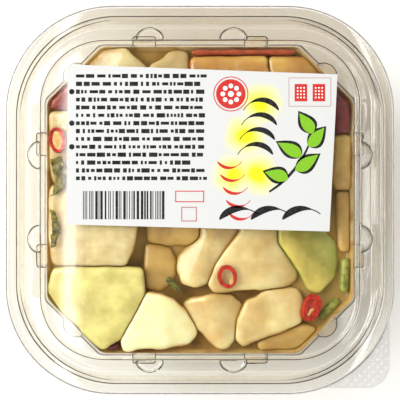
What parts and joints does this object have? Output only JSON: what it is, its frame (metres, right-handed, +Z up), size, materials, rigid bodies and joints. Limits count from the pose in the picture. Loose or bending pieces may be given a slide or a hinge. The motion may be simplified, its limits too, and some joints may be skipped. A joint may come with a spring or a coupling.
{
  "type": "tub of salted daikon radish pickles",
  "caption": "Square clear tub with a snap-in lid and label, filled with cut salted daikon radish, carrot, greens and chilli rings in brine.",
  "frame": {"origin": "centre of the tub's square base, on the surface it stands on", "axes": "+Z up out of the lid; +Y towards the label's top edge; +X to the label's right; the lid's dotted grip tab is at the +X, -Y corner"},
  "size_m": [0.12, 0.12, 0.039],
  "materials": {
    "clear_plastic": "clear thermoformed sheet, glossy",
    "label_paper": "white printed film label, satin",
    "daikon": "wet, slightly translucent flesh",
    "carrot": "wet, slightly translucent flesh",
    "chilli": "wet, glossy skin",
    "greens": "wet, soft leaf",
    "brine": "clear yellowish liquid"
  },
  "bodies": {
    "root": {"brine": "brine", "carrot_01": "carrot", "carrot_02": "carrot", "carrot_03": "carrot", "carrot_04": "carrot", "carrot_05": "carrot", "chilli_ring_01": "chilli", "chilli_ring_02": "chilli", "chilli_ring_03": "chilli", "daikon_01": "daikon", "daikon_02": "daikon", "daikon_03": "daikon", "daikon_04": "daikon", "daikon_05": "daikon", "daikon_06": "daikon", "daikon_07": "daikon", "daikon_08": "daikon", "daikon_09": "daikon", "daikon_10": "daikon", "daikon_11": "daikon", "daikon_12": "daikon", "daikon_13": "daikon", "daikon_14": "daikon", "daikon_15": "daikon", "daikon_16": "daikon", "daikon_17": "daikon", "daikon_18": "daikon", "daikon_19": "daikon", "daikon_20": "daikon", "daikon_21": "daikon", "daikon_22": "daikon", "daikon_23": "daikon", "daikon_24": "daikon", "daikon_25": "daikon", "daikon_26": "daikon", "daikon_27": "daikon", "daikon_28": "daikon", "daikon_29": "daikon", "daikon_30": "daikon", "label": "label_paper", "leaf_01": "greens", "leaf_02": "greens", "lid": "clear_plastic", "stalk_01": "greens", "stalk_02": "greens", "stalk_03": "greens", "tub": "clear_plastic"}
  },
  "joints": []
}
